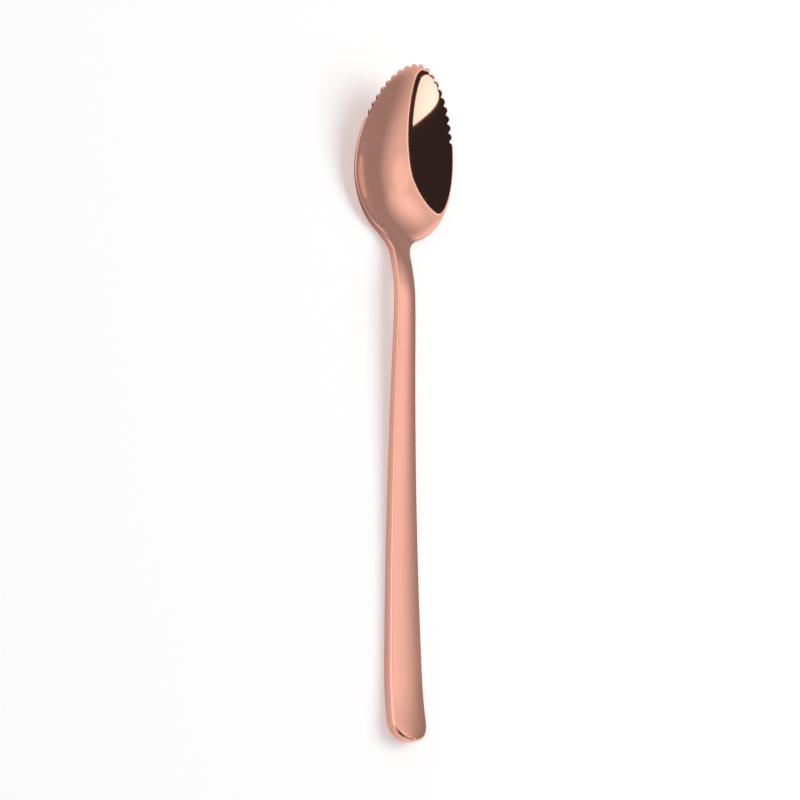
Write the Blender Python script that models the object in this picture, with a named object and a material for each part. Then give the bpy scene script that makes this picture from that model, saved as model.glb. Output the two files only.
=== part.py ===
"""Fruit scraping spoon: a bowl with a serrated tip and a tapered handle, welded at the neck.

Lengths are in metres and +Z is up. +Y runs from the handle's end to the bowl's tip, and the
origin is on the table, under the middle of the spoon's length. A station is a distance from the
handle's end, measured along +Y.
"""

import math

import bmesh
import bpy
import numpy as np

# Overall size
OVERALL_LENGTH = 0.170

# Bowl, in plan
BOWL_WIDTH = 0.028
BOWL_LENGTH = 0.0436
WIDEST_FROM_TIP = 0.0254
TIP_EXPONENT = 1.82     # 2 is an ellipse, and less is more pointed
HEEL_EXPONENT = 2.12    # 2 is an ellipse, and more is fuller
NECK_FILLET = 0.0080    # radius between the neck's side and the bowl's outline

# Bowl, from the side
BOWL_DEPTH = 0.00372    # below the rim, at the widest place
BOWL_FULLNESS = 0.16    # more has a flatter floor and steeper walls
BOWL_LIP = 0.13         # share of the depth over which the rim is flattened
BOWL_WALL = 0.0006
RIM_SLOPE = 0.1335      # of the rim where the bowl begins
TIP_RISE = 0.0116       # of the rim, from where the bowl begins to the tip
RIM_BLEND = 0.0006      # softens the corner between the neck and the rim
BOWL_FOOT = 0.0015      # radius of the small flat that the bowl stands on

# Teeth along the tip
TOOTH_COUNT = 19
TOOTH_PITCH = 0.0022
TOOTH_DEPTH = 0.00075

# Handle and neck
END_WIDTH = 0.0090
END_ROUND = 0.0052      # length of the round end
END_FLAT = 0.0020       # width of the flat at the middle of the round end
END_THICKNESS = 0.0031
NECK_WIDTH = 0.0046
NECK_THICKNESS = 0.0021
NECK_THINNING = 0.0185  # length from the weld to where only the bowl's wall is left
TAPER_EXPONENT = 1.23   # 1 is a straight taper
CROWN = 0.00025         # rise of the top face between its edges
EDGE_RADIUS = 0.0005
REST_FROM_END = 0.021   # middle of the flat that the handle lies on
REST_LENGTH = 0.008
END_LIFT = 0.0017       # of the underside at the end
CREST_HEIGHT = 0.0056   # of the top edge, before the bend softens it
CREST_EXPONENT = 1.85   # how late the handle rises to the crest
CREST_FROM_WELD = 0.0105
NECK_BEND = 0.052       # radius of the bend from the crest down to the bowl
CREST_BLEND = 0.0006

# Weld
WELD_FROM_FILLET = 0.003
WELD_GAP = 0.0003

# Mesh steps
POINTS_PER_TOOTH = 6
PLAIN_RIM_STEPS = 16
WELD_FACE_STEPS = 6
BOWL_RINGS = 9
RING_CROWDING = 1.25    # 1 spaces the rings evenly, and more moves them toward the rim
OUTLINE_SAMPLES = 200
FILLET_HALVINGS = 50
END_STEPS = 8
LIFT_STEPS = 4
REST_STEPS = 2
HANDLE_STEPS = 36
CORNER_STEPS = 2
TOP_FACE_STEPS = 4
SLOPE_STEP = 0.00005    # for measuring how steep the bowl is

ROSE_GOLD = (0.82, 0.415, 0.335, 1.0)
POLISH = 0.12
SHARP_ANGLE = math.radians(35)

WIDEST = OVERALL_LENGTH - WIDEST_FROM_TIP
HEEL = OVERALL_LENGTH - BOWL_LENGTH
REST_START = REST_FROM_END - REST_LENGTH / 2
REST_END = REST_FROM_END + REST_LENGTH / 2


def clear_scene():
    for item in list(bpy.data.objects):
        bpy.data.objects.remove(item, do_unlink=True)


def share(value, start, end):
    """How far value lies from start to end, kept between 0 and 1."""
    return min(max((value - start) / (end - start), 0.0), 1.0)


def ease(value):
    return value * value * (3.0 - 2.0 * value)


def smooth_max(a, b, blend):
    """The larger of a and b, rounded where they differ by less than blend."""
    return max(a, b) + max(blend - abs(a - b), 0.0) ** 2 / (4.0 * blend)


def smooth_min(a, b, blend):
    return -smooth_max(-a, -b, blend)


def spaced(start, end, steps):
    return [start + (end - start) * step / steps for step in range(steps + 1)]


# Plan outline

def front_share(station):
    """The bowl's half width from its widest place to the tip, as a share of the widest."""
    along = share(station, WIDEST, OVERALL_LENGTH)
    return (1.0 - along ** TIP_EXPONENT) ** (1.0 / TIP_EXPONENT)


def bowl_half_width(station):
    if station > WIDEST:
        return BOWL_WIDTH / 2 * front_share(station)
    along = share(station, WIDEST, HEEL)
    return BOWL_WIDTH / 2 * (1.0 - along ** HEEL_EXPONENT) ** (1.0 / HEEL_EXPONENT)


def fillet_place():
    """Where the neck's fillet starts on the neck's side, and where it meets the bowl's outline.

    A circle of the fillet's radius touches the neck's side and moves toward the bowl until it
    touches the bowl's outline too.
    """
    side = NECK_WIDTH / 2 + NECK_FILLET
    stations = spaced(HEEL, WIDEST, OUTLINE_SAMPLES)

    def distance(station, centre):
        return math.hypot(station - centre, bowl_half_width(station) - side)

    low = HEEL - 2 * NECK_FILLET
    high = WIDEST
    for _ in range(FILLET_HALVINGS):
        centre = (low + high) / 2
        if min(distance(station, centre) for station in stations) > NECK_FILLET:
            low = centre
        else:
            high = centre
    return low, min(stations, key=lambda station: distance(station, low))


FILLET_START, FILLET_END = fillet_place()
WELD = FILLET_START - WELD_FROM_FILLET
CREST = WELD - CREST_FROM_WELD

# The station where the handle's end stops being round
END_SHOULDER = END_ROUND * math.sqrt(1.0 - (END_FLAT / END_WIDTH) ** 2)


def handle_half_width(station):
    if station < END_SHOULDER:
        return END_WIDTH / 2 * math.sqrt(1.0 - ((END_SHOULDER - station) / END_ROUND) ** 2)
    left = 1.0 - share(station, END_SHOULDER, WELD)
    return NECK_WIDTH / 2 + (END_WIDTH - NECK_WIDTH) / 2 * left ** TAPER_EXPONENT


def half_width(station):
    if station > FILLET_END:
        return bowl_half_width(station)
    if station > FILLET_START:
        drop = math.sqrt(NECK_FILLET ** 2 - (station - FILLET_START) ** 2)
        return NECK_WIDTH / 2 + NECK_FILLET - drop
    return handle_half_width(station)


# Side profile

def thickness(station):
    if station < WELD:
        return END_THICKNESS + (NECK_THICKNESS - END_THICKNESS) * share(station, 0.0, WELD)
    thinned = ease(share(station, WELD, WELD + NECK_THINNING))
    return NECK_THICKNESS + (BOWL_WALL - NECK_THICKNESS) * thinned


def bowl_share(station):
    """The bowl's depth on the middle line, before its lip is flattened, as a share of the most."""
    if station > WIDEST:
        return front_share(station) ** 2
    return 1.0 - share(station, WIDEST, HEEL) ** 2


def hollow(across, station):
    """Depth of the top face below its edge, with across 0 in the middle and 1 at the edge."""
    middle = 1.0 - across ** 2
    lipped = math.hypot(bowl_share(station) * middle, BOWL_LIP) - BOWL_LIP
    lipped /= math.hypot(1.0, BOWL_LIP) - BOWL_LIP
    crown = CROWN * (1.0 - ease(share(station, WELD, WIDEST)))
    return BOWL_DEPTH * lipped * (1.0 + BOWL_FULLNESS * (1.0 - lipped)) - crown * middle


def rim_shape(station):
    """The rim's height, measured from where the bowl begins."""
    along = station - HEEL
    curve = (TIP_RISE - RIM_SLOPE * BOWL_LENGTH) / BOWL_LENGTH ** 2
    return RIM_SLOPE * along + curve * along ** 2


def drop_below_heel(station):
    """How far the bowl's underside lies below the rim's height where the bowl begins."""
    return hollow(0.0, station) + thickness(station) - rim_shape(station)


# The bowl's lowest station, and the rim's height at the heel with that place on the table
FOOT = max(spaced(HEEL, OVERALL_LENGTH, OUTLINE_SAMPLES), key=drop_below_heel)
BOWL_LIFT = drop_below_heel(FOOT)


def handle_underside(station):
    end_curve = END_LIFT * share(station, REST_START, 0.0) ** 2
    rise = CREST_HEIGHT - thickness(CREST)
    climb = max(station - REST_END, 0.0) / (CREST - REST_END)
    return end_curve + rise * climb ** CREST_EXPONENT


def edge_height(station):
    """Height of the top face's edge, which is the rim on the bowl."""
    handle = handle_underside(station) + thickness(station)
    neck = CREST_HEIGHT - max(station - CREST, 0.0) ** 2 / (2.0 * NECK_BEND)
    height = smooth_min(handle, neck, CREST_BLEND)
    if station < WELD:
        return height
    return smooth_max(height, rim_shape(station) + BOWL_LIFT, RIM_BLEND)


def top_height(x, station):
    """Height of the top face: crowned on the handle and hollow in the bowl."""
    across = x / max(half_width(station), END_FLAT / 2)
    return edge_height(station) - hollow(across, station)


def bowl_underside(x, station):
    """The bowl's outer face, a wall's thickness from the inner one and not below the table."""
    ahead = min(station + SLOPE_STEP, OVERALL_LENGTH)
    behind = max(station - SLOPE_STEP, WELD)
    slope_along = (top_height(x, ahead) - top_height(x, behind)) / (ahead - behind)
    slope_across = (top_height(x + SLOPE_STEP, station) - top_height(x, station)) / SLOPE_STEP
    steepness = math.sqrt(1.0 + slope_along ** 2 + slope_across ** 2)
    return max(top_height(x, station) - thickness(station) * steepness, 0.0)


# Modelling

def place(x, station, height):
    return (x, station - OVERALL_LENGTH / 2, height)


def extrude_ring(bm, ring, points):
    """Extrude a closed ring of vertices, and move the new ring to the points."""
    edges = [bm.edges.get(pair) for pair in zip(ring, ring[1:] + ring[:1])]
    made = bmesh.ops.extrude_edge_only(bm, edges=edges)["geom"]
    fresh = {item for item in made if isinstance(item, bmesh.types.BMVert)}
    ring = [next(edge.other_vert(vert) for edge in vert.link_edges if edge.other_vert(vert) in fresh)
            for vert in ring]
    for vert, point in zip(ring, points):
        vert.co = point
    return ring


def loft(name, loops):
    """A closed solid through loops of points, with its first and last loop capped."""
    bm = bmesh.new()
    ring = bmesh.ops.create_circle(bm, segments=len(loops[0]), radius=1.0)["verts"]
    for vert, point in zip(ring, loops[0]):
        vert.co = point
    caps = [bm.faces.new(ring)]
    for points in loops[1:]:
        ring = extrude_ring(bm, ring, points)
    caps.append(bm.faces.new(ring))
    bmesh.ops.poke(bm, faces=caps)
    bmesh.ops.recalc_face_normals(bm, faces=bm.faces)
    mesh = bpy.data.meshes.new(name)
    bm.to_mesh(mesh)
    bm.free()
    mesh.shade_smooth()
    mesh.set_sharp_from_angle(angle=SHARP_ANGLE)
    mesh.materials.append(polished_steel(name + "_steel"))
    piece = bpy.data.objects.new(name, mesh)
    bpy.context.scene.collection.objects.link(piece)
    return piece


def polished_steel(name):
    material = bpy.data.materials.new(name)
    material.use_nodes = True
    shader = material.node_tree.nodes["Principled BSDF"]
    shader.inputs["Base Color"].default_value = ROSE_GOLD
    shader.inputs["Metallic"].default_value = 1.0
    shader.inputs["Roughness"].default_value = POLISH
    return material


# Bowl

def outline_from_tip():
    """Half of the bowl's outline without teeth, from the tip to the weld."""
    turns = spaced(0.0, math.pi / 2, OUTLINE_SAMPLES)
    stations = [WIDEST + WIDEST_FROM_TIP * math.cos(turn) for turn in turns]
    stations += spaced(WIDEST, WELD + WELD_GAP / 2, OUTLINE_SAMPLES)[1:]
    return np.array([(half_width(station), station) for station in stations])


def notch_depth(run):
    """How deep the teeth are cut at this run along the rim from the tip."""
    half_count = (TOOTH_COUNT + 1) / 2
    if run > half_count * TOOTH_PITCH:
        return 0.0
    return TOOTH_DEPTH * (1.0 - abs(math.cos(math.pi * (run / TOOTH_PITCH + half_count))))


def rim_halves():
    """Half of the rim from the tip to the weld: first plain, then with its teeth cut in."""
    outline = outline_from_tip()
    lengths = np.hypot(*np.diff(outline, axis=0).T)
    reach = np.concatenate(([0.0], np.cumsum(lengths)))

    def point(run):
        x = np.interp(abs(run), reach, outline[:, 0])
        return np.array((math.copysign(x, run), np.interp(abs(run), reach, outline[:, 1])))

    toothed = (TOOTH_COUNT + 1) / 2 * TOOTH_PITCH
    runs = spaced(0.0, toothed, (TOOTH_COUNT + 1) * POINTS_PER_TOOTH // 2)
    runs += spaced(toothed, reach[-1], PLAIN_RIM_STEPS)[1:]
    plain = [point(run) for run in runs]
    cut = []
    for run, spot in zip(runs, plain):
        way = point(run + SLOPE_STEP) - point(run - SLOPE_STEP)
        inward = np.array((way[1], -way[0])) / np.linalg.norm(way)
        cut.append(spot + inward * notch_depth(run))
    return plain, cut


def closed_rim(half):
    """The whole rim: one side, the face at the weld, and the other side mirrored."""
    weld_side, weld_station = half[-1]
    weld_face = [(x, weld_station) for x in spaced(weld_side, -weld_side, WELD_FACE_STEPS)[1:-1]]
    return half + weld_face + [(-x, station) for x, station in half[:0:-1]]


def make_bowl():
    plain, cut = [closed_rim(half) for half in rim_halves()]

    def ring(portion, height):
        """A loop between the round flat at the foot, at portion 0, and the rim, at portion 1."""
        loop = []
        for x, station in cut if portion == 1.0 else plain:
            reach = math.hypot(x, station - FOOT)
            scale = portion + (1.0 - portion) * BOWL_FOOT / reach
            x *= scale
            station = FOOT + (station - FOOT) * scale
            level = height(x, station) if portion else height(0.0, FOOT)
            loop.append(place(x, station, level))
        return loop

    portions = [1.0 - (1.0 - step) ** RING_CROWDING for step in spaced(0.0, 1.0, BOWL_RINGS)]
    loops = [ring(portion, top_height) for portion in portions]
    loops += [ring(portion, bowl_underside) for portion in reversed(portions)]
    return loft("bowl", loops)


# Handle

def handle_section(station):
    """The handle's outline across one station: crowned top, rounded edges and flat underside."""
    half = half_width(station)
    under = edge_height(station) - thickness(station)
    radius = min(EDGE_RADIUS, half / 2)
    flat = half - radius
    section = [(x, top_height(x, station)) for x in spaced(-flat, flat, TOP_FACE_STEPS)]
    upper = section[-1][1] - radius
    lower = under + radius
    for step in range(1, CORNER_STEPS + 1):
        turn = math.pi / 2 * step / CORNER_STEPS
        section.append((flat + radius * math.sin(turn), upper + radius * math.cos(turn)))
    for step in range(CORNER_STEPS + 1):
        turn = math.pi / 2 * step / CORNER_STEPS
        section.append((flat + radius * math.cos(turn), lower - radius * math.sin(turn)))
    left_side = [(-x, z) for x, z in reversed(section[TOP_FACE_STEPS + 1:])]
    return [place(x, station, z) for x, z in section + left_side]


def make_handle():
    turns = spaced(0.0, math.pi / 2, END_STEPS)
    stations = [END_SHOULDER * (1.0 - math.cos(turn)) for turn in turns]
    stations += spaced(stations[-1], REST_START, LIFT_STEPS)[1:]
    stations += spaced(REST_START, REST_END, REST_STEPS)[1:]
    stations += spaced(REST_END, WELD - WELD_GAP / 2, HANDLE_STEPS)[1:]
    return loft("handle", [handle_section(station) for station in stations])


def main():
    clear_scene()
    make_bowl()
    make_handle()


main()
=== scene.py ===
"""Looks of the fruit scraping spoon: a polished rose gold bowl and handle on a pale studio floor.

Lengths are in metres and +Z is up. A station is a distance from the handle's end, measured along
+Y, and the bowl's tip is at the last station.
"""

import math

import bmesh
import bpy
import numpy as np
from bpy.props import FloatProperty, FloatVectorProperty, IntProperty, PointerProperty
from mathutils import Matrix, Vector


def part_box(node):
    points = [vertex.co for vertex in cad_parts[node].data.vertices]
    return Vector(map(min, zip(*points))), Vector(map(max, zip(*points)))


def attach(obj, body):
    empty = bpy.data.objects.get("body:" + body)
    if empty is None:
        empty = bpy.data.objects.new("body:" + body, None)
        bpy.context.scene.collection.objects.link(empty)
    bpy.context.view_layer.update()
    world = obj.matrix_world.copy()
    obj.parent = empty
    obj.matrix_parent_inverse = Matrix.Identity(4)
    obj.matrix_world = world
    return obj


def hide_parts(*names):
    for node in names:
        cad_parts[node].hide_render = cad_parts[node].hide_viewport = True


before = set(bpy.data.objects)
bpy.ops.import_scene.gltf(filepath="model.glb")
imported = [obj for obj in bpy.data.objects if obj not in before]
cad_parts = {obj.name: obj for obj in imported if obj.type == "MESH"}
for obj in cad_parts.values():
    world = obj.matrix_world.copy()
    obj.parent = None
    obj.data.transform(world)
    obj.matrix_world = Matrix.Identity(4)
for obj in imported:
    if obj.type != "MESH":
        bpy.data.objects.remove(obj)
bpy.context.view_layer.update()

bl_info = {
    "name": "Fruit scraping spoon",
    "version": (1, 0, 0),
    "blender": (4, 5, 0),
    "location": "3D View > Sidebar > Spoon",
    "description": "Models a polished spoon with a serrated tip, and its studio",
    "category": "Object",
}

# Mesh steps
POINTS_PER_TOOTH = 16
PLAIN_RIM_STEPS = 72
ACROSS_COLUMNS = 14
BOWL_RINGS = 26
RIM_BAND = 0.91           # share of the way to the rim where the band with the teeth begins
RIM_BAND_CUTS = 4
EYE_OF_RINGS = 0.02       # share of the way to the rim where the rings end at the foot
HANDLE_ROWS = 150
END_ROWS = 14
ARC_STEPS = 3             # in each rounding of an edge
WALL_STEPS = 2
COLUMN_STEPS = 3 * ARC_STEPS + 1 + WALL_STEPS
WELD_ROW = 0.0002         # length of the last row before the weld
WALL_TOP = ((2 * ARC_STEPS) / COLUMN_STEPS, (2 * ARC_STEPS + 1) / COLUMN_STEPS)
WALL_FOOT = (1.0, 1.0 - ARC_STEPS / COLUMN_STEPS)
SHARP_ANGLE = math.radians(60)
OUTLINE_SAMPLES = 400
FILLET_HALVINGS = 50
SLOPE_STEP = 0.00005

PLATE_GROUP = "polished_plate"

# Detail of the noises in the finish
CLOUD_DETAIL = 3.0
MARK_DETAIL = 2.0
WAVE_DETAIL = 0.0

# Stage. Each pair in the tent is where a change in the cloth starts and ends.
UP = Vector((0.0, 0.0, 1.0))
WHITE = (1.0, 1.0, 1.0, 1.0)
FLOOR_SIZE = 4.0
PAPER_ROUGHNESS = 0.9
TENT_RADIUS = 7.0
TENT_SEGMENTS = 64
TENT_RINGS = 32
TENT_HORIZON = (0.589, 0.884)          # heights on a unit dome where the dim cloth turns bright
TENT_SKIRT = (0.36, 0.05)              # heights where it brightens again toward the floor
TENT_WALL_AZIMUTH = math.radians(-78)
TENT_WALL = (0.45, 0.80)               # cosines of the angle from the middle of the bright side
TENT_OPEN_AZIMUTH = math.radians(-130)
TENT_OPEN = (0.90, 0.60)               # the same, where the tent is open and dark to the camera
TENT_GLOW = (0.920, 1.0)               # cosines of the angle from the middle of the glow
TENT_SIDE_GLOW = (0.976, 0.998)        # the same for the second glow
TENT_HEM = (0.032, 0.004)              # distances from the cloth's edge, in front of the flag
TENT_HEM_END = (-0.10, -0.03)          # the same behind the flag
FLAG_EDGE = Vector((0.750, 0.629, -0.207))  # square to the plane of the flag's edge and the bowl
FLAG_HEIGHT = 3.0
FLAG_REACH = 3.0
FLAG_WIDTH = 6.6


def length(name, description, default):
    return FloatProperty(name=name, description=description, default=default, unit="LENGTH",
                         subtype="DISTANCE", precision=5)


def number(name, description, default):
    return FloatProperty(name=name, description=description, default=default, precision=3)


def angle(name, description, degrees):
    return FloatProperty(name=name, description=description, default=math.radians(degrees),
                         unit="ROTATION", subtype="ANGLE")


def colour(name, description, default):
    return FloatVectorProperty(name=name, description=description, default=default, size=3,
                               subtype="COLOR", min=0.0, max=1.0)


class SpoonSizes(bpy.types.PropertyGroup):
    """Sizes of the bowl, the teeth and the handle"""

    overall_length: length("Overall length", "From the handle's end to the tip",
                           round(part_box("bowl")[1].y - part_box("handle")[0].y, 4))
    bowl_width: length("Bowl width", "Over the rim at the widest place", 0.028)
    bowl_length: length("Bowl length", "From the heel to the tip", 0.0436)
    widest_from_tip: length("Widest from tip", "From the tip to the widest place", 0.0254)
    tip_exponent: number("Tip exponent", "2 is an ellipse, and less is more pointed", 1.82)
    heel_exponent: number("Heel exponent", "2 is an ellipse, and more is fuller", 2.12)
    neck_fillet: length("Neck fillet", "Radius between the neck and the bowl's outline", 0.0080)
    bowl_depth: length("Bowl depth", "Below the rim, at the widest place", 0.00372)
    bowl_fullness: number("Bowl fullness", "More has a flatter floor and steeper walls", 0.16)
    bowl_lip: number("Bowl lip", "Share of the depth over which the rim is flattened", 0.13)
    bowl_wall: length("Bowl wall", "Thickness of the bowl", 0.0006)
    rim_slope: number("Rim slope", "Of the rim where the bowl begins", 0.1335)
    tip_rise: length("Tip rise", "Of the rim, from the heel to the tip", 0.0116)
    rim_blend: length("Rim blend", "Softens the corner between the neck and the rim", 0.0006)
    rim_round: length("Rim rounding", "Radius of the bowl's edge", 0.00005)
    rim_bevel: length("Rim bevel", "Width of the bowl's bevelled edge", 0.00014)
    bevel_rise: angle("Bevel rise", "How far the bevels face upward", 37.0)
    tooth_count: IntProperty(name="Teeth", description="Along the tip", default=19, min=1)
    tooth_pitch: length("Tooth pitch", "Between two crests along the rim", 0.0022)
    tooth_depth: length("Tooth depth", "From a crest to the notch beside it", 0.00075)
    notch_round: number("Notch rounding", "0 is a sharp notch", 0.20)
    end_width: length("End width", "Of the handle where its round end begins", 0.0090)
    end_round: length("End rounding", "Length of the round end", 0.0052)
    end_exponent: number("End exponent", "2 is an ellipse, and more is squarer", 2.5)
    end_flat: length("End middle", "Width of the round end's first row", 0.0020)
    end_thickness: length("End thickness", "Of the handle at its end", 0.0031)
    end_edge: length("End edge rounding", "Radius of the handle's edge at its end", 0.00010)
    end_bevel: length("End bevel", "Width of the handle's bevelled edge at its end", 0.00050)
    end_foot: length("End foot", "Added to the lower edge's radius at the handle's end", 0.0010)
    neck_width: length("Neck width", "At the weld", 0.0046)
    neck_thickness: length("Neck thickness", "At the weld", 0.0021)
    neck_thinning: length("Neck thinning", "From the weld to the bowl's bare wall", 0.0185)
    neck_edge: length("Neck edge rounding", "Radius of the edge at the weld", 0.00008)
    neck_bevel: length("Neck bevel", "Width of the bevelled edge at the weld", 0.00010)
    taper_exponent: number("Taper exponent", "1 is a straight taper", 1.23)
    crown: length("Crown", "Rise of the handle's top face between its edges", 0.00025)
    rest_from_end: length("Rest from end", "Middle of the flat that the handle lies on", 0.021)
    rest_length: length("Rest length", "Length of that flat", 0.008)
    end_lift: length("End lift", "Of the underside at the handle's end", 0.0017)
    crest_height: length("Crest height", "Of the top edge near the neck", 0.0056)
    crest_exponent: number("Crest exponent", "How late the handle rises to the crest", 1.85)
    crest_from_weld: length("Crest from weld", "Along the handle", 0.0105)
    neck_bend: length("Neck bend", "Radius of the bend from the crest to the bowl", 0.052)
    crest_blend: length("Crest blend", "Softens the crest", 0.0006)
    weld_from_fillet: length("Weld from fillet", "Along the neck", 0.003)


class SpoonFinish(bpy.types.PropertyGroup):
    """Colour and polish of the metal"""

    rose_gold: colour("Rose gold", "Colour of the plated steel", (0.82, 0.415, 0.325))
    deep_gold: colour("Deep rose gold", "Colour where the plating is a little thicker",
                      (0.78, 0.385, 0.295))
    # Painted shade: this dark colour on the bowl's side wall stands in for the dark reflections
    # that the wall shows, not for a duller cut edge.
    painted_edge_shade: colour("Edge of the bowl", "Colour of the bowl's cut edge, which is less polished",
                      (0.12, 0.05, 0.04))
    edge_haze: number("Edge haze", "Roughness that the cut edge adds", 0.15)
    # Along Y, the painted shade on the side wall fades in between these two stations.
    edge_shade_start: length("Edge start", "Along Y, where the polished edge begins to change", 0.030)
    edge_shade_end: length("Edge end", "Along Y, where it is all cut edge", 0.054)
    polish: number("Polish", "Roughness of the mirror finish", 0.03)
    haze: number("Haze", "Roughness that wiping adds in soft clouds", 0.04)
    cloud_size: length("Cloud size", "Width of the wiped clouds", 0.012)
    mark_width: length("Mark width", "Width of the polishing marks", 0.0003)
    mark_length: number("Mark length", "How much longer than wide the polishing marks are", 20.0)
    mark_height: length("Mark height", "Height of the polishing marks", 0.0000004)
    wave_size: length("Wave size", "Width of the slow waves that grinding leaves", 0.006)
    wave_height: length("Wave height", "Height of those waves", 0.000004)


class SpoonStudio(bpy.types.PropertyGroup):
    """Floor, light and camera"""

    floor_colour: colour("Floor", "Pale paper under the spoon", (0.94, 0.94, 0.94))
    floor_lift: number("Floor lift", "Brightens the paper without lighting the spoon", 0.32)
    sky_level: number("Sky level", "Even light from all round", 0.36)
    lamp_level: number("Lamp level", "Light that the main lamp gives the floor", 0.45)
    lamp_azimuth: angle("Lamp azimuth", "From +Y toward +X", 80.0)
    lamp_elevation: angle("Lamp elevation", "Above the floor", 60.0)
    lamp_distance: length("Lamp distance", "From the middle of the spoon", 1.2)
    lamp_size: length("Lamp size", "Side of the square lamp", 1.0)
    cloth_level: number("Cloth level", "Brightness of the tent's cloth overhead", 0.96)
    low_level: number("Low level", "Brightness of the tent's cloth near the floor", 0.42)
    glow_level: number("Glow level", "Added where a lamp shines through the cloth", 0.31)
    glow_azimuth: angle("Glow azimuth", "From +Y toward +X", 30.5)
    glow_elevation: angle("Glow elevation", "Above the floor", 49.5)
    side_glow_level: number("Side glow level", "Added where a second lamp shines through", 0.24)
    side_glow_azimuth: angle("Side glow azimuth", "From +Y toward +X", 72.0)
    side_glow_elevation: angle("Side glow elevation", "Above the floor", 65.0)
    hem_level: number("Hem level", "Added along the cloth's edge", 0.90)
    wall_level: number("Wall level", "Brightness of the tent's left side", 1.55)
    open_share: number("Open share", "Of the cloth's light, left on the camera's side", 0.35)
    skirt_level: number("Skirt level", "Added to the cloth at the floor", 0.13)
    flag_level: number("Flag level", "Brightness of the black flag over the camera", 0.035)
    softbox_level: number("Soft box level", "Brightness of the soft box beside the camera", 2.25)
    softbox_grade: number("Soft box grade", "Change in brightness over its width", 0.30)
    softbox_azimuth: angle("Soft box azimuth", "From +Y toward +X", 155.4)
    softbox_elevation: angle("Soft box elevation", "Above the floor", 53.1)
    softbox_tilt: angle("Soft box tilt", "Elevation that its face is square to", 36.4)
    softbox_distance: length("Soft box distance", "From the bowl", 2.03)
    softbox_width: length("Soft box width", "From side to side", 1.00)
    softbox_height: length("Soft box height", "From its lower to its upper edge", 1.172)
    # The card glows at this colour: painted light standing in for what a lit warm card would
    # reflect.
    card_glow_colour: colour("Card", "Warm card that stands on the floor", (0.76, 0.66, 0.57))
    card_azimuth: angle("Card azimuth", "From +Y toward +X", 65.0)
    card_distance: length("Card distance", "From the bowl", 1.5)
    card_width: length("Card width", "From side to side", 0.42)
    card_height: length("Card height", "Above the floor", 0.34)
    camera_azimuth: angle("Camera azimuth", "0 looks along +Y, and +90 looks along -X", -49.81)
    camera_elevation: angle("Camera elevation", "Above the floor", 48.87)
    camera_roll: angle("Camera roll", "Turns the spoon upright in the picture", 56.88)
    camera_distance: length("Camera distance", "From the middle of the spoon", 0.601)
    camera_lens: number("Lens", "Focal length in millimetres", 114.98)
    camera_sensor: number("Sensor", "Sensor width in millimetres", 36.0)
    aim_right: length("Aim right", "The camera's aim, to the right of the spoon's middle", 0.00105)
    aim_up: length("Aim up", "The camera's aim, above the spoon's middle", 0.00046)


def share(value, start, end):
    """How far value lies from start to end, kept between 0 and 1."""
    return min(max((value - start) / (end - start), 0.0), 1.0)


def ease(value):
    return value * value * (3.0 - 2.0 * value)


def smooth_max(a, b, blend):
    """The larger of a and b, rounded where they differ by less than blend."""
    return max(a, b) + max(blend - abs(a - b), 0.0) ** 2 / (4.0 * blend)


def smooth_min(a, b, blend):
    return -smooth_max(-a, -b, blend)


def quarter(along, exponent):
    """Height of a rounded quarter at this share of its base. An exponent of 2 makes an ellipse."""
    return (1.0 - along ** exponent) ** (1.0 / exponent)


def spaced(start, end, steps):
    return [start + (end - start) * step / steps for step in range(steps + 1)]


def unit(x, y):
    return np.array((x, y)) / math.hypot(x, y)


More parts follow.
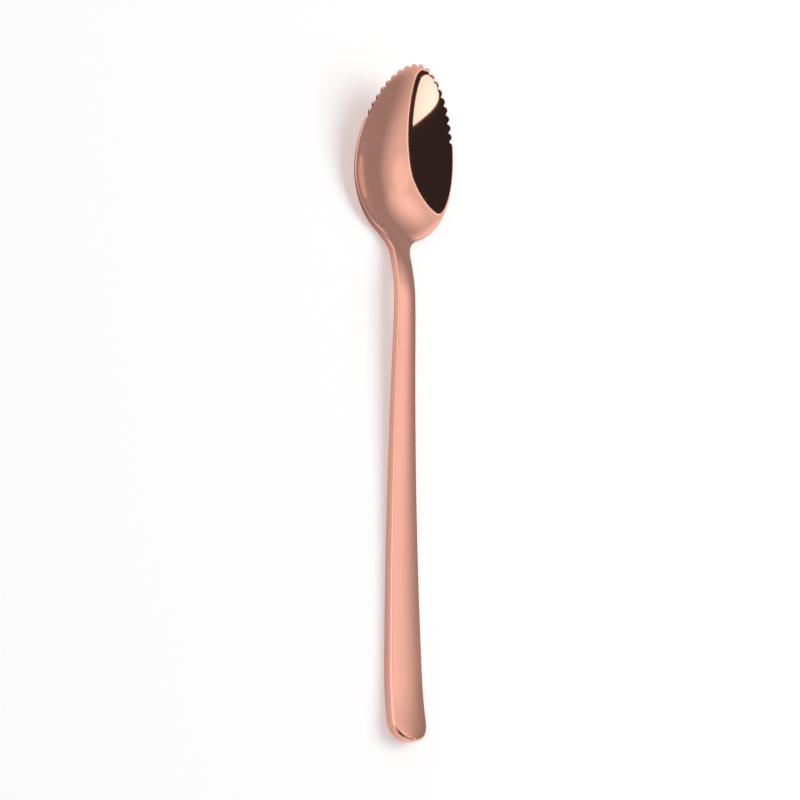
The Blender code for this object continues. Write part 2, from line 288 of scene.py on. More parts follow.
class SpoonForm:
    """The spoon's plan outline and side profile, as functions of the station."""

    def __init__(self, sizes):
        self.sizes = sizes
        self.widest = sizes.overall_length - sizes.widest_from_tip
        self.heel = sizes.overall_length - sizes.bowl_length
        self.rest_start = sizes.rest_from_end - sizes.rest_length / 2
        self.rest_end = sizes.rest_from_end + sizes.rest_length / 2
        self.fillet_start, self.fillet_end = self.fillet_place()
        self.weld = self.fillet_start - sizes.weld_from_fillet
        self.crest = self.weld - sizes.crest_from_weld
        stations = spaced(self.heel, sizes.overall_length, OUTLINE_SAMPLES)
        self.foot = max(stations, key=self.drop_below_heel)
        self.bowl_lift = self.drop_below_heel(self.foot)

    # Plan outline

    def front_share(self, station):
        """Half width from the widest place to the tip, as a share of the widest."""
        along = share(station, self.widest, self.sizes.overall_length)
        return quarter(along, self.sizes.tip_exponent)

    def bowl_half_width(self, station):
        half = self.sizes.bowl_width / 2
        if station > self.widest:
            return half * self.front_share(station)
        along = share(station, self.widest, self.heel)
        return half * quarter(along, self.sizes.heel_exponent)

    def fillet_place(self):
        """Where the neck's fillet starts on the neck, and where it meets the bowl's outline."""
        radius = self.sizes.neck_fillet
        side = self.sizes.neck_width / 2 + radius
        stations = spaced(self.heel, self.widest, OUTLINE_SAMPLES)

        def distance(station, centre):
            return math.hypot(station - centre, self.bowl_half_width(station) - side)

        low, high = self.heel - 2 * radius, self.widest
        for _ in range(FILLET_HALVINGS):
            centre = (low + high) / 2
            if min(distance(station, centre) for station in stations) > radius:
                low = centre
            else:
                high = centre
        return low, min(stations, key=lambda station: distance(station, low))

    def half_width(self, station):
        sizes = self.sizes
        if station > self.fillet_end:
            return self.bowl_half_width(station)
        if station > self.fillet_start:
            drop = math.sqrt(sizes.neck_fillet ** 2 - (station - self.fillet_start) ** 2)
            return sizes.neck_width / 2 + sizes.neck_fillet - drop
        if station < sizes.end_round:
            along = 1.0 - max(station, 0.0) / sizes.end_round
            return sizes.end_width / 2 * quarter(along, sizes.end_exponent)
        left = 1.0 - share(station, sizes.end_round, self.weld)
        spread = (sizes.end_width - sizes.neck_width) / 2
        return sizes.neck_width / 2 + spread * left ** sizes.taper_exponent

    # Side profile

    def thickness(self, station):
        sizes = self.sizes
        if station < self.weld:
            change = sizes.neck_thickness - sizes.end_thickness
            return sizes.end_thickness + change * share(station, 0.0, self.weld)
        change = sizes.bowl_wall - sizes.neck_thickness
        thinned = ease(share(station, self.weld, self.weld + sizes.neck_thinning))
        return sizes.neck_thickness + change * thinned

    def bowl_share(self, station):
        """The depth on the middle line, before the lip is flattened, as a share of the most."""
        if station > self.widest:
            return self.front_share(station) ** 2
        return 1.0 - share(station, self.widest, self.heel) ** 2

    def hollow(self, across, station):
        """Depth of the top face below its edge, with across 0 in the middle and 1 at the edge."""
        sizes = self.sizes
        middle = 1.0 - across ** 2
        lip = sizes.bowl_lip
        lipped = math.hypot(self.bowl_share(station) * middle, lip) - lip
        lipped /= math.hypot(1.0, lip) - lip
        crown = sizes.crown * (1.0 - ease(share(station, self.weld, self.widest)))
        filled = lipped * (1.0 + sizes.bowl_fullness * (1.0 - lipped))
        return sizes.bowl_depth * filled - crown * middle

    def rim_shape(self, station):
        """The rim's height, measured from where the bowl begins."""
        sizes = self.sizes
        along = station - self.heel
        curve = (sizes.tip_rise - sizes.rim_slope * sizes.bowl_length) / sizes.bowl_length ** 2
        return sizes.rim_slope * along + curve * along ** 2

    def drop_below_heel(self, station):
        return self.hollow(0.0, station) + self.thickness(station) - self.rim_shape(station)

    def handle_underside(self, station):
        sizes = self.sizes
        end_curve = sizes.end_lift * share(station, self.rest_start, 0.0) ** 2
        rise = sizes.crest_height - self.thickness(self.crest)
        climb = max(station - self.rest_end, 0.0) / (self.crest - self.rest_end)
        return end_curve + rise * climb ** sizes.crest_exponent

    def edge_height(self, station):
        """Height of the top face's edge, which is the rim on the bowl."""
        sizes = self.sizes
        handle = self.handle_underside(station) + self.thickness(station)
        ahead = max(station - self.crest, 0.0)
        neck = sizes.crest_height - ahead ** 2 / (2.0 * sizes.neck_bend)
        height = smooth_min(handle, neck, sizes.crest_blend)
        if station < self.weld:
            return height
        return smooth_max(height, self.rim_shape(station) + self.bowl_lift, sizes.rim_blend)

    def top_height(self, x, station):
        """Height of the top face: crowned on the handle and hollow in the bowl."""
        across = x / max(self.half_width(station), self.sizes.end_flat / 2)
        return self.edge_height(station) - self.hollow(across, station)

    def slope(self, height, x, behind, station, ahead):
        """How steep a face is at a station between two others, across and along."""
        step = SLOPE_STEP
        across = height(x + step, station) - height(x - step, station)
        along = height(x, ahead) - height(x, behind)
        return across / (2 * step), along / (ahead - behind)

    def top_slope(self, x, station):
        ahead = min(station + SLOPE_STEP, self.sizes.overall_length)
        return self.slope(self.top_height, x, max(station - SLOPE_STEP, 0.0), station, ahead)

    def under_slope(self, x, station):
        return self.slope(self.under_height, x, station - SLOPE_STEP, station, station + SLOPE_STEP)

    def under_height(self, x, station):
        """Height of the underside: flat on the handle, and a wall's thickness below the bowl."""
        wall = self.thickness(station)
        flat = self.edge_height(station) - wall
        if station < self.rest_end:
            return flat
        steepness = math.hypot(1.0, *self.top_slope(x, station))
        shell = self.top_height(x, station) - wall * steepness
        part = ease(share(station, self.crest, self.weld))
        return max(flat + (shell - flat) * part, 0.0)

    def along_edge(self, station, at_end, at_neck, at_rim):
        """A size of the edge, which changes from the handle's end to the weld and on to the rim."""
        if station < self.weld:
            return at_end + (at_neck - at_end) * math.sqrt(share(station, 0.0, self.weld))
        return at_neck + (at_rim - at_neck) * ease(share(station, self.weld, self.fillet_end))

    # Bowl outline

    def outline_from_tip(self):
        """Half of the bowl's outline without teeth, from the tip to the weld."""
        turns = spaced(0.0, math.pi / 2, OUTLINE_SAMPLES)
        reach = self.sizes.widest_from_tip
        stations = [self.widest + reach * math.cos(turn) for turn in turns]
        stations += spaced(self.widest, self.weld, OUTLINE_SAMPLES)[1:]
        return np.array([(self.half_width(station), station) for station in stations])

    def notch_depth(self, run):
        """How deep the teeth are cut at this run along the rim from the tip."""
        sizes = self.sizes
        half_count = (sizes.tooth_count + 1) / 2
        if run > half_count * sizes.tooth_pitch:
            return 0.0
        wave = math.cos(math.pi * (run / sizes.tooth_pitch + half_count))
        soft = sizes.notch_round
        crest = (math.hypot(wave, soft) - soft) / (math.hypot(1.0, soft) - soft)
        return sizes.tooth_depth * (1.0 - crest)

    def rim_halves(self):
        """Half of the rim from the tip to the weld: first plain, then with its teeth cut in."""
        sizes = self.sizes
        outline = self.outline_from_tip()
        steps = np.hypot(*np.diff(outline, axis=0).T)
        reach = np.concatenate(([0.0], np.cumsum(steps)))

        def plain(run):
            x = np.interp(abs(run), reach, outline[:, 0])
            return np.array((math.copysign(x, run), np.interp(abs(run), reach, outline[:, 1])))

        def inward(run):
            way = plain(run + SLOPE_STEP) - plain(run - SLOPE_STEP)
            return unit(way[1], -way[0])

        def cut(run):
            return plain(run) + inward(run) * self.notch_depth(abs(run))

        toothed = (sizes.tooth_count + 1) / 2 * sizes.tooth_pitch
        runs = spaced(0.0, toothed, (sizes.tooth_count + 1) * POINTS_PER_TOOTH // 2)
        runs += spaced(toothed, reach[-1], PLAIN_RIM_STEPS)[1:]
        return [plain(run) for run in runs], [cut(run) for run in runs]


def outward_ways(half):
    """The outward direction at each point of half the rim, from the tip to the weld."""
    before = [half[1] * (-1, 1)] + half[:-1]
    after = half[1:] + [half[-1] * 2 - half[-2]]
    ways = []
    for start, end in zip(before, after):
        way = end - start
        ways.append(unit(-way[1], way[0]))
    ways[-1] = np.array((1.0, 0.0))
    return ways


class EdgeRound:
    """The bevelled and rounded edge at one point of a piece's outline."""

    def __init__(self, form, spot, way):
        self.form = form
        self.spot = np.array(spot)
        self.way = np.array(way)
        sizes = form.sizes
        self.radius = form.along_edge(spot[1], sizes.end_edge, sizes.neck_edge, sizes.rim_round)
        bevel = form.along_edge(spot[1], sizes.end_bevel, sizes.neck_bevel, sizes.rim_bevel)
        self.foot = self.radius + sizes.end_foot * share(spot[1], sizes.rest_from_end, 0.0) ** 2
        self.bevel_run = bevel * math.sin(sizes.bevel_rise)
        self.bevel_drop = bevel * math.cos(sizes.bevel_rise)
        self.tilt = self.angle(form.top_slope)
        self.under_tilt = self.angle(form.under_slope)

    def angle(self, slope):
        across, along = slope(*(self.spot - self.way * (self.radius + self.bevel_run)))
        return math.atan(across * self.way[0] + along * self.way[1])

    def top_edge(self):
        """Where the top face ends, inside the outline."""
        return self.spot - self.way * (self.radius * (1.0 + math.sin(self.tilt)) + self.bevel_run)

    def under_edge(self):
        """Where the underside ends, inside the outline."""
        return self.spot - self.way * self.foot * (1.0 - math.sin(self.under_tilt))

    def column(self):
        """Points down the edge: a bevel between two arcs, the wall, and an arc to the underside."""
        rise = self.form.sizes.bevel_rise
        middle = self.spot - self.way * self.radius
        top = self.form.top_height(*self.top_edge())
        under = self.form.under_height(*self.under_edge())
        start = top - self.radius * math.cos(self.tilt)
        upper = start - self.bevel_drop
        lower = under + self.foot * math.cos(self.under_tilt)
        points = []
        for turn in spaced(math.pi / 2 + self.tilt, rise, ARC_STEPS):
            points.append((middle + self.way * (self.radius * math.cos(turn) - self.bevel_run),
                           start + self.radius * math.sin(turn)))
        for turn in spaced(rise, 0.0, ARC_STEPS):
            points.append((middle + self.way * self.radius * math.cos(turn),
                           upper + self.radius * math.sin(turn)))
        for height in spaced(upper, lower, WALL_STEPS)[1:-1]:
            points.append((self.spot, height))
        for turn in spaced(0.0, self.under_tilt - math.pi / 2, ARC_STEPS):
            points.append((self.spot + self.way * self.foot * (math.cos(turn) - 1.0),
                           lower + self.foot * math.sin(turn)))
        return points


class EdgeFlat:
    """One point of the flat face at the weld, with no rounding."""

    def __init__(self, form, corner, portion):
        self.form = form
        self.corner = corner
        self.portion = portion

    def top_edge(self):
        return self.corner.top_edge() * (self.portion, 1.0)

    def under_edge(self):
        return self.corner.under_edge() * (self.portion, 1.0)

    def column(self):
        start = self.top_edge()
        end = self.under_edge()
        top = self.form.top_height(*start)
        under = self.form.under_height(*end)
        heights = [height for _, height in self.corner.column()]
        points = []
        for height in heights:
            part = share(height, heights[0], heights[-1])
            points.append((start + (end - start) * part, top + (under - top) * part))
        return points


def across_shares():
    """Places of the columns across the handle, closer together at its edges."""
    return [math.sin(math.pi / 2 * value) for value in spaced(-1.0, 1.0, ACROSS_COLUMNS)]


def extrude_ring(bm, ring):
    """Extrude a closed ring of vertices and return the new ring in the same order."""
    edges = [bm.edges.get(pair) for pair in zip(ring, ring[1:] + ring[:1])]
    made = bmesh.ops.extrude_edge_only(bm, edges=edges)["geom"]
    fresh = {item for item in made if isinstance(item, bmesh.types.BMVert)}

    def partner(vert):
        return next(other for edge in vert.link_edges if (other := edge.other_vert(vert)) in fresh)

    return [partner(vert) for vert in ring]


def float_layers(bm, *names):
    return [bm.verts.layers.float.new(name) for name in names]


def thicken(bm, depth):
    """Give a sheet an underside, and cut its side wall into the steps of a rounded edge."""
    made = bmesh.ops.extrude_face_region(bm, geom=bm.faces[:], use_keep_orig=True)["geom"]
    for item in made:
        if isinstance(item, bmesh.types.BMVert):
            item[depth] = 1.0
    sides = [edge for edge in bm.edges if edge.verts[0][depth] != edge.verts[1][depth]]
    bmesh.ops.subdivide_edges(bm, edges=sides, cuts=COLUMN_STEPS - 1)


def place(spot, height, form):
    return Vector((spot[0], spot[1] - form.sizes.overall_length / 2, height))


def add_object(name, data):
    item = bpy.data.objects.new(name, data)
    bpy.context.scene.collection.objects.link(item)
    return item


def mesh_from(bm, name):
    mesh = bpy.data.meshes.new(name)
    bm.to_mesh(mesh)
    bm.free()
    return mesh


def piece_from(bm, name):
    bmesh.ops.recalc_face_normals(bm, faces=bm.faces)
    mesh = mesh_from(bm, name)
    mesh.shade_smooth()
    mesh.set_sharp_from_angle(angle=SHARP_ANGLE)
    return add_object(name, mesh)


def bowl_edges(form):
    """The rounded edge at each point round the bowl, from the tip and back to it."""
    plain, cut = form.rim_halves()
    ways = outward_ways(cut)
    half = [EdgeRound(form, spot, way) for spot, way in zip(cut, ways)]
    shares = across_shares()
    face = [EdgeFlat(form, half[-1], portion) for portion in reversed(shares[1:-1])]
    other = [EdgeRound(form, spot * (-1, 1), way * (-1, 1)) for spot, way in zip(cut, ways)]
    side, station = plain[-1]
    plain_face = [np.array((side * portion, station)) for portion in reversed(shares[1:-1])]
    plain_other = [spot * (-1, 1) for spot in plain]
    return plain + plain_face + plain_other[:0:-1], half + face + other[:0:-1]


def model_bowl(form):
    """A disc of rings round the foot, thickened and lifted to the bowl's shape."""
    plain, edges = bowl_edges(form)
    foot = np.array((0.0, form.foot))
    bm = bmesh.new()
    point, ring_number, depth = float_layers(bm, "point", "ring", "depth")
    ring = bmesh.ops.create_circle(bm, segments=len(edges), radius=1.0)["verts"]
    portions = spaced(1.0, RIM_BAND, RIM_BAND_CUTS + 1)
    portions += spaced(RIM_BAND, EYE_OF_RINGS, BOWL_RINGS)[1:]
    for rank in range(len(portions)):
        if rank:
            ring = extrude_ring(bm, ring)
        for index, vert in enumerate(ring):
            vert[point] = index
            vert[ring_number] = rank
    eye = bmesh.ops.poke(bm, faces=[bm.faces.new(ring)])["verts"][0]
    eye[ring_number] = len(portions)
    thicken(bm, depth)
    columns = [edge.column() for edge in edges]
    tops = [edge.top_edge() for edge in edges]
    unders = [edge.under_edge() for edge in edges]

    def spot_in_ring(index, rank, rim):
        if rank == len(portions):
            return foot
        portion = portions[rank]
        inner = foot + (plain[index] - foot) * min(portion, RIM_BAND)
        return inner + (rim[index] - inner) * share(portion, RIM_BAND, 1.0)

    for vert in bm.verts:
        index = round(vert[point])
        rank = round(vert[ring_number])
        if vert[depth] == 0.0:
            spot = spot_in_ring(index, rank, tops)
            vert.co = place(spot, form.top_height(*spot), form)
        elif vert[depth] == 1.0:
            spot = spot_in_ring(index, rank, unders)
            vert.co = place(spot, form.under_height(*spot), form)
        else:
            vert.co = place(*columns[index][round(vert[depth] * COLUMN_STEPS)], form)
    return piece_from(bm, "spoon_bowl")


def handle_edges(form):
    """Rounded edges of the handle: a row for each station, right side only, and the round end."""
    sizes = form.sizes
    half = sizes.end_width / 2
    exponent = sizes.end_exponent

    def end_edge(across):
        """The edge where the round end is this share of its half width from the middle."""
        behind = quarter(abs(across), exponent)
        spot = (half * across, sizes.end_round * (1.0 - behind))
        side_way = math.copysign(abs(across) ** (exponent - 1.0), across) / half
        way = unit(side_way, -behind ** (exponent - 1.0) / sizes.end_round)
        return EdgeRound(form, spot, way)

    def side_edge(station):
        step = SLOPE_STEP if station < form.weld else 0.0
        spread = form.half_width(station + step) - form.half_width(station - step)
        way = unit(1.0, -spread / (2 * step) if step else 0.0)
        return EdgeRound(form, (form.half_width(station), station), way)

    first = sizes.end_flat / sizes.end_width
    turns = spaced(math.asin(first ** (exponent / 2)), math.pi / 2, END_ROWS)
    side = [end_edge(math.sin(turn) ** (2 / exponent)) for turn in turns]
    stations = spaced(sizes.end_round, form.weld - WELD_ROW, HANDLE_ROWS)[1:] + [form.weld]
    side += [side_edge(station) for station in stations]
    end = [end_edge(first * portion) for portion in across_shares()]
    return side, end


def model_handle(form):
    """A grid along the handle, thickened and bent to the handle's shape."""
    side, end = handle_edges(form)
    shares = across_shares()
    rows = len(side) - 1
    weld = [EdgeFlat(form, side[-1], portion) for portion in shares]
    bm = bmesh.new()
    column_number, row_number, depth = float_layers(bm, "column", "row", "depth")
    grid = bmesh.ops.create_grid(bm, x_segments=ACROSS_COLUMNS, y_segments=rows, size=0.5)["verts"]
    for vert in grid:
        vert[column_number] = round((vert.co.x + 0.5) * ACROSS_COLUMNS)
        vert[row_number] = round((vert.co.y + 0.5) * rows)
    thicken(bm, depth)
    side_columns = [edge.column() for edge in side]
    end_columns = [edge.column() for edge in end]
    weld_columns = [edge.column() for edge in weld]
    for vert in bm.verts:
        column = round(vert[column_number])
        row = round(vert[row_number])
        if vert[depth] in (0.0, 1.0):
            top = vert[depth] == 0.0
            if row == 0:
                spot = end[column].top_edge() if top else end[column].under_edge()
            else:
                spot = side[row].top_edge() if top else side[row].under_edge()
                spot = spot * (shares[column], 1.0)
            height = form.top_height if top else form.under_height
            vert.co = place(spot, height(*spot), form)
            continue
        step = round(vert[depth] * COLUMN_STEPS)
        if row == 0:
            spot, level = end_columns[column][step]
        elif column in (0, ACROSS_COLUMNS):
            spot, level = side_columns[row][step]
            spot = spot * (1 if column else -1, 1)
        else:
            spot, level = weld_columns[column][step]
        vert.co = place(spot, level, form)
    return piece_from(bm, "spoon_handle")


def scaled(tree, value, factor, offset=0.0):
    node = tree.nodes.new("ShaderNodeMath")
    node.operation = "MULTIPLY_ADD"
    tree.links.new(value, node.inputs[0])
    node.inputs[1].default_value = factor
    node.inputs[2].default_value = offset
    return node.outputs["Value"]


def joined(tree, operation, first, second):
    node = tree.nodes.new("ShaderNodeMath")
    node.operation = operation
    tree.links.new(first, node.inputs[0])
    tree.links.new(second, node.inputs[1])
    return node.outputs["Value"]


def dot_product(tree, spot, way):
    node = tree.nodes.new("ShaderNodeVectorMath")
    node.operation = "DOT_PRODUCT"
    tree.links.new(spot, node.inputs[0])
    node.inputs[1].default_value = way
    return node.outputs["Value"]


def noise(tree, spot, size, detail):
    """Soft noise whose spots are about as wide as the size."""
    node = tree.nodes.new("ShaderNodeTexNoise")
    node.inputs["Scale"].default_value = 1.0 / size
    node.inputs["Detail"].default_value = detail
    tree.links.new(spot, node.inputs["Vector"])
    return node.outputs["Fac"]


def ramp(tree, value, start, end):
    """Climbs smoothly from 0 to 1 as the value goes from start to end."""
    node = tree.nodes.new("ShaderNodeMapRange")
    node.interpolation_type = "SMOOTHSTEP"
    node.inputs["From Min"].default_value = start
    node.inputs["From Max"].default_value = end
    tree.links.new(value, node.inputs["Value"])
    return node.outputs["Result"]


def edge_shade_mask(tree, spot, finish):
    """Mask of the painted shade: 1 on the bowl's side wall, which is darkened in place of the dark
    reflections it shows, and 0 on the faces and along the handle.
    """
    depth = tree.nodes.new("ShaderNodeAttribute")
    depth.attribute_name = "depth"
    apart = tree.nodes.new("ShaderNodeSeparateXYZ")
    tree.links.new(spot, apart.inputs["Vector"])
    mask = ramp(tree, apart.outputs["Y"], finish.edge_shade_start, finish.edge_shade_end)
    for limits in (WALL_TOP, WALL_FOOT):
        mask = joined(tree, "MULTIPLY", mask, ramp(tree, depth.outputs["Fac"], *limits))
    return mask


def polished_plate(finish):
    """The shared finish: wiped clouds in colour and roughness, painted shade and haze on the bowl's
    side wall, polishing marks and slow waves.
    """
    tree = bpy.data.node_groups.get(PLATE_GROUP)
    if tree:
        return tree
    tree = bpy.data.node_groups.new(PLATE_GROUP, "ShaderNodeTree")
    for name, kind in (("Colour", "Color"), ("Roughness", "Float"), ("Normal", "Vector")):
        tree.interface.new_socket(name, in_out="OUTPUT", socket_type="NodeSocket" + kind)
    result = tree.nodes.new("NodeGroupOutput")
    spot = tree.nodes.new("ShaderNodeTexCoord").outputs["Object"]
    cloud = noise(tree, spot, finish.cloud_size, CLOUD_DETAIL)
    # Painted shade: this mask darkens the bowl's side wall, in place of the dark reflections there,
    # and also adds roughness.
    cut = edge_shade_mask(tree, spot, finish)
    tint = None
    # First the plating's uneven tone from the clouds, then the painted shade on the side wall.
    for factor, tone_and_shade in ((cloud, finish.deep_gold), (cut, finish.painted_edge_shade)):
        mix = tree.nodes.new("ShaderNodeMix")
        mix.data_type = "RGBA"
        tree.links.new(factor, mix.inputs["Factor"])
        mix.inputs["A"].default_value = (*finish.rose_gold, 1.0)
        mix.inputs["B"].default_value = (*tone_and_shade, 1.0)
        if tint:
            tree.links.new(tint, mix.inputs["A"])
        tint = mix.outputs["Result"]
    tree.links.new(tint, result.inputs["Colour"])
    hazy = scaled(tree, cloud, finish.haze, finish.polish)
    rough = joined(tree, "ADD", hazy, scaled(tree, cut, finish.edge_haze))
    tree.links.new(rough, result.inputs["Roughness"])
    stretch = tree.nodes.new("ShaderNodeMapping")
    stretch.inputs["Scale"].default_value = (1.0, 1.0 / finish.mark_length, 1.0)
    tree.links.new(spot, stretch.inputs["Vector"])
    marks = noise(tree, stretch.outputs["Vector"], finish.mark_width, MARK_DETAIL)
    waves = noise(tree, spot, finish.wave_size, WAVE_DETAIL)
    normal = None
    for height, rise in ((waves, finish.wave_height), (marks, finish.mark_height)):
        bump = tree.nodes.new("ShaderNodeBump")
        bump.inputs["Distance"].default_value = rise
        tree.links.new(height, bump.inputs["Height"])
        if normal:
            tree.links.new(normal, bump.inputs["Normal"])
        normal = bump.outputs["Normal"]
    tree.links.new(normal, result.inputs["Normal"])
    return tree


def node_material(name):
    material = bpy.data.materials.new(name)
    material.use_nodes = True
    return material, material.node_tree


def rose_gold_material(name, finish):
    material, tree = node_material(name)
    shader = tree.nodes["Principled BSDF"]
    shader.inputs["Metallic"].default_value = 1.0
    plate = tree.nodes.new("ShaderNodeGroup")
    plate.node_tree = polished_plate(finish)
    tree.links.new(plate.outputs["Colour"], shader.inputs["Base Color"])
    for socket in ("Roughness", "Normal"):
        tree.links.new(plate.outputs[socket], shader.inputs[socket])
    return material


class SPOON_OT_bowl(bpy.types.Operator):
    """Model the bowl with its serrated tip and the stub of the neck"""

    bl_idname = "spoon.bowl"
    bl_label = "Bowl"

    def execute(self, context):
        scene = context.scene
        piece = model_bowl(SpoonForm(scene.spoon_sizes))
        piece.data.materials.append(rose_gold_material("rose_gold_bowl", scene.spoon_finish))
        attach(piece, "root")
        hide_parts("bowl")
        return {"FINISHED"}


class SPOON_OT_handle(bpy.types.Operator):
    """Model the tapered handle with its round end"""

    bl_idname = "spoon.handle"
    bl_label = "Handle"

    def execute(self, context):
        scene = context.scene
        piece = model_handle(SpoonForm(scene.spoon_sizes))
        piece.data.materials.append(rose_gold_material("rose_gold_handle", scene.spoon_finish))
        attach(piece, "root")
        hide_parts("handle")
        return {"FINISHED"}


def stage_way(azimuth, elevation):
    """A direction, with the azimuth measured from +Y toward +X."""
    flat = math.cos(elevation)
    return Vector((math.sin(azimuth) * flat, math.cos(azimuth) * flat, math.sin(elevation)))


def add_camera(studio):
    """Place the camera, and turn it about its own axis by the roll."""
    back = stage_way(math.pi - studio.camera_azimuth, studio.camera_elevation)
    right = UP.cross(back).normalized()
    aim = right * studio.aim_right + back.cross(right) * studio.aim_up
    spot = back * studio.camera_distance
    data = bpy.data.cameras.new("photo_camera")
    data.lens = studio.camera_lens
    data.sensor_width = studio.camera_sensor
    camera = add_object("photo_camera", data)
    turn = (aim - spot).to_track_quat("-Z", "Y").to_matrix()
    turn = turn @ Matrix.Rotation(studio.camera_roll, 3, "Z")
    camera.matrix_world = Matrix.Translation(spot) @ turn.to_4x4()
    bpy.context.scene.camera = camera


def stage_mesh(name, bm, material):
    mesh = mesh_from(bm, name)
    mesh.materials.append(material)
    item = add_object(name, mesh)
    return item


def only_in_reflections(item):
    item.visible_camera = False
    item.visible_diffuse = False
    item.visible_shadow = False


def glowing_material(name, level):
    """A material that only glows, and its emission node."""
    material, tree = node_material(name)
    tree.nodes.remove(tree.nodes["Principled BSDF"])
    glow = tree.nodes.new("ShaderNodeEmission")
    glow.inputs["Strength"].default_value = level
    surface = tree.nodes["Material Output"].inputs["Surface"]
    tree.links.new(glow.outputs["Emission"], surface)
    return material, glow


def seen_directly(tree):
    """1 for what the camera sees, also in a mirror or through glass, and else 0."""
    path = tree.nodes.new("ShaderNodeLightPath")
    seen = path.outputs["Is Camera Ray"]
    for name in ("Is Glossy Ray", "Is Transmission Ray"):
        seen = joined(tree, "MAXIMUM", seen, path.outputs[name])
    return seen


def add_floor(studio):
    material, tree = node_material("pale_paper")
    shader = tree.nodes["Principled BSDF"]
    shader.inputs["Base Color"].default_value = (*studio.floor_colour, 1.0)
    shader.inputs["Roughness"].default_value = PAPER_ROUGHNESS
    shader.inputs["Specular IOR Level"].default_value = 0.0
    shader.inputs["Emission Color"].default_value = WHITE
    lift = scaled(tree, seen_directly(tree), studio.floor_lift)
    tree.links.new(lift, shader.inputs["Emission Strength"])
    bm = bmesh.new()
    bmesh.ops.create_grid(bm, x_segments=1, y_segments=1, size=FLOOR_SIZE / 2)
    stage_mesh("floor", bm, material)


def add_lamp(studio):
    """A large soft lamp that lights the floor, and isn't seen in the metal itself."""
    data = bpy.data.lights.new("window", "AREA")
    data.size = studio.lamp_size
    distance = studio.lamp_distance
    # The power at which white paper under the lamp is as bright as the level
    data.energy = studio.lamp_level * math.pi ** 2 * distance ** 2 / math.sin(studio.lamp_elevation)
    lamp = add_object("window", data)
    way = stage_way(studio.lamp_azimuth, studio.lamp_elevation)
    lamp.location = way * distance
    lamp.rotation_euler = way.to_track_quat("Z", "Y").to_euler()
    lamp.visible_camera = False
    lamp.visible_glossy = False


def add_sky(studio):
    """A surrounding that looks white, and lights the scene at the sky's level."""
    world = bpy.data.worlds.new("studio")
    bpy.context.scene.world = world
    world.use_nodes = True
    tree = world.node_tree
    background = tree.nodes["Background"]
    background.inputs["Color"].default_value = WHITE
    level = scaled(tree, seen_directly(tree), 1.0 - studio.sky_level, studio.sky_level)
    tree.links.new(level, background.inputs["Strength"])


def tent_material(studio):
    """Cloth that glows overhead and on the left, and is dim near the floor on the right."""
    material, glow = glowing_material("tent_cloth", studio.low_level)
    tree = material.node_tree
    place_node = tree.nodes.new("ShaderNodeTexCoord")
    direction = tree.nodes.new("ShaderNodeVectorMath")
    direction.operation = "NORMALIZE"
    tree.links.new(place_node.outputs["Object"], direction.inputs[0])

    def toward(way, start, end):
        """Climbs smoothly from 0 to 1 as the direction turns toward a way."""
        return ramp(tree, dot_product(tree, direction.outputs["Vector"], way), start, end)

    overhead = toward(UP, *TENT_HORIZON)
    wall = toward(stage_way(TENT_WALL_AZIMUTH, 0.0), *TENT_WALL)
    cloth = scaled(tree, overhead, studio.cloth_level - studio.low_level, studio.low_level)
    cloth = joined(tree, "MAXIMUM", cloth, scaled(tree, wall, studio.wall_level))
    open_side = toward(stage_way(TENT_OPEN_AZIMUTH, 0.0), *TENT_OPEN)
    kept = scaled(tree, open_side, 1.0 - studio.open_share, studio.open_share)
    strength = joined(tree, "MULTIPLY", cloth, kept)
    glow_way = stage_way(studio.glow_azimuth, studio.glow_elevation)
    side_way = stage_way(studio.side_glow_azimuth, studio.side_glow_elevation)
    hem = joined(tree, "MULTIPLY", toward(FLAG_EDGE, *TENT_HEM), toward(FLAG_EDGE, *TENT_HEM_END))
    for mask, level in ((toward(glow_way, *TENT_GLOW), studio.glow_level),
                        (toward(side_way, *TENT_SIDE_GLOW), studio.side_glow_level),
                        (hem, studio.hem_level),
                        (toward(UP, *TENT_SKIRT), studio.skirt_level)):
        strength = joined(tree, "ADD", strength, scaled(tree, mask, level))
    tree.links.new(strength, glow.inputs["Strength"])
    return material


def add_tent(studio):
    bm = bmesh.new()
    bmesh.ops.create_uvsphere(bm, u_segments=TENT_SEGMENTS, v_segments=TENT_RINGS,
                              radius=TENT_RADIUS)
    bmesh.ops.reverse_faces(bm, faces=bm.faces)
    only_in_reflections(stage_mesh("tent", bm, tent_material(studio)))


def hang_sheet(name, material, middle, width, height):
    """A flat sheet that only the metal shows, from its middle and its two sides as vectors."""
    bm = bmesh.new()
    bmesh.ops.create_grid(bm, x_segments=1, y_segments=1, size=0.5)
    for vert in bm.verts:
        vert.co = middle + width * vert.co.x + height * vert.co.y
    only_in_reflections(stage_mesh(name, bm, material))


def add_flag(studio, middle):
    """A black flag overhead on the camera's side, whose straight edge the bowl mirrors."""
    away = Vector((FLAG_EDGE.x, FLAG_EDGE.y, 0.0)).normalized()
    along = Vector((-away.y, away.x, 0.0))
    front = -FLAG_EDGE.z * FLAG_HEIGHT / FLAG_EDGE.xy.length
    depth = front + FLAG_REACH
    centre = middle + away * (front - depth / 2) + UP * FLAG_HEIGHT
    material, _ = glowing_material("black_flag", studio.flag_level)
    hang_sheet("flag", material, centre, away * depth, along * FLAG_WIDTH)


def add_softbox(studio, middle):
    """A bright soft box beside the camera, which the bowl mirrors near its tip."""
    way = stage_way(studio.softbox_azimuth, studio.softbox_elevation)
    right = way.cross(UP).normalized()
    rise = right.cross(stage_way(studio.softbox_azimuth, studio.softbox_tilt))
    material, glow = glowing_material("softbox_cloth", studio.softbox_level)
    tree = material.node_tree
    spot = tree.nodes.new("ShaderNodeTexCoord").outputs["Object"]
    across = dot_product(tree, spot, right / studio.softbox_width)
    change = studio.softbox_level * studio.softbox_grade
    start = studio.softbox_level - change * middle.dot(right) / studio.softbox_width
    tree.links.new(scaled(tree, across, change, start), glow.inputs["Strength"])
    hang_sheet("softbox", material, middle + way * studio.softbox_distance,
               right * studio.softbox_width, rise * studio.softbox_height)


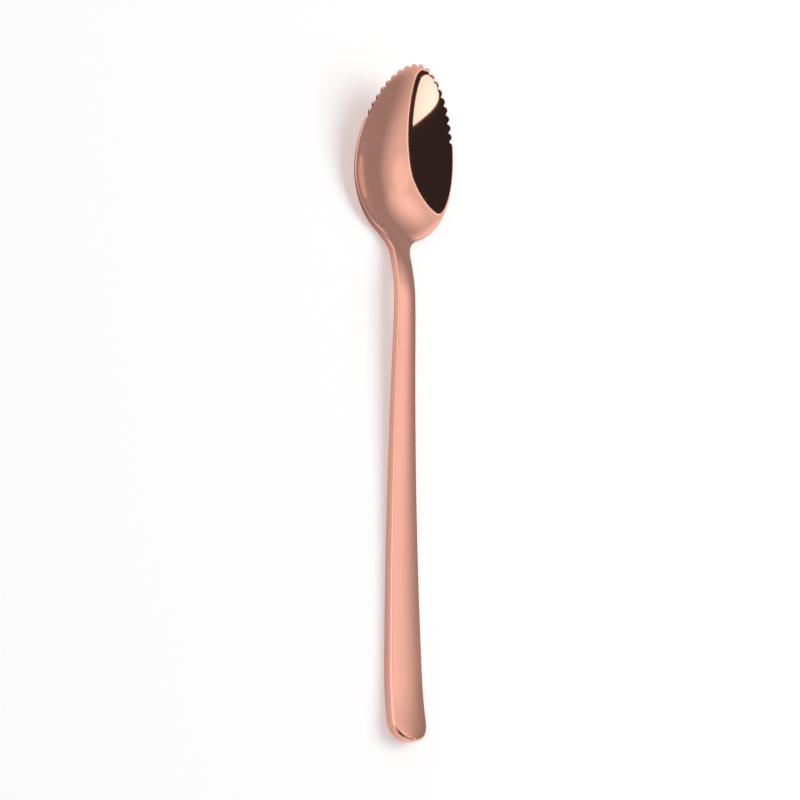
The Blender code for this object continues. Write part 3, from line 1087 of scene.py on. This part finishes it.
def add_card(studio, middle):
    """A warm card on the floor to the right, which glows at its colour in place of the lamp light
    it would bounce, and which the bowl mirrors beside its left rim.
    """
    way = stage_way(studio.card_azimuth, 0.0)
    centre = Vector((middle.x, middle.y, studio.card_height / 2)) + way * studio.card_distance
    # Painted light: the card glows rather than being lit, and shows only in the metal's
    # reflections.
    material, glow = glowing_material("warm_card", 1.0)
    glow.inputs["Color"].default_value = (*studio.card_glow_colour, 1.0)
    hang_sheet("card", material, centre, way.cross(UP) * studio.card_width,
               UP * studio.card_height)


class SPOON_OT_stage(bpy.types.Operator):
    """Lay the pale floor, put up the lights and the tent, and set the camera"""

    bl_idname = "spoon.stage"
    bl_label = "Stage"

    def execute(self, context):
        scene = context.scene
        studio = scene.spoon_studio
        scene.view_settings.view_transform = "Standard"
        low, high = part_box("bowl")
        middle = (low + high) / 2
        for add in (add_floor, add_lamp, add_sky, add_tent, add_camera):
            add(studio)
        for add in (add_flag, add_softbox, add_card):
            add(studio, middle)
        return {"FINISHED"}


class SPOON_PT_panel(bpy.types.Panel):
    bl_idname = "SPOON_PT_panel"
    bl_label = "Fruit scraping spoon"
    bl_space_type = "VIEW_3D"
    bl_region_type = "UI"
    bl_category = "Spoon"

    def draw(self, context):
        scene = context.scene
        for group in (scene.spoon_sizes, scene.spoon_finish, scene.spoon_studio):
            box = self.layout.box()
            for name in group.__annotations__:
                box.prop(group, name)
        for operator in OPERATORS:
            self.layout.operator(operator.bl_idname)


OPERATORS = (SPOON_OT_bowl, SPOON_OT_handle, SPOON_OT_stage)
GROUPS = {"spoon_sizes": SpoonSizes, "spoon_finish": SpoonFinish, "spoon_studio": SpoonStudio}
CLASSES = (*GROUPS.values(), *OPERATORS, SPOON_PT_panel)


def register():
    for item in CLASSES:
        bpy.utils.register_class(item)
    for name, group in GROUPS.items():
        setattr(bpy.types.Scene, name, PointerProperty(type=group))


def unregister():
    for name in GROUPS:
        delattr(bpy.types.Scene, name)
    for item in reversed(CLASSES):
        bpy.utils.unregister_class(item)


def main():
    register()
    bpy.ops.spoon.bowl()
    bpy.ops.spoon.handle()
    bpy.ops.spoon.stage()


if __name__ == "__main__":
    main()
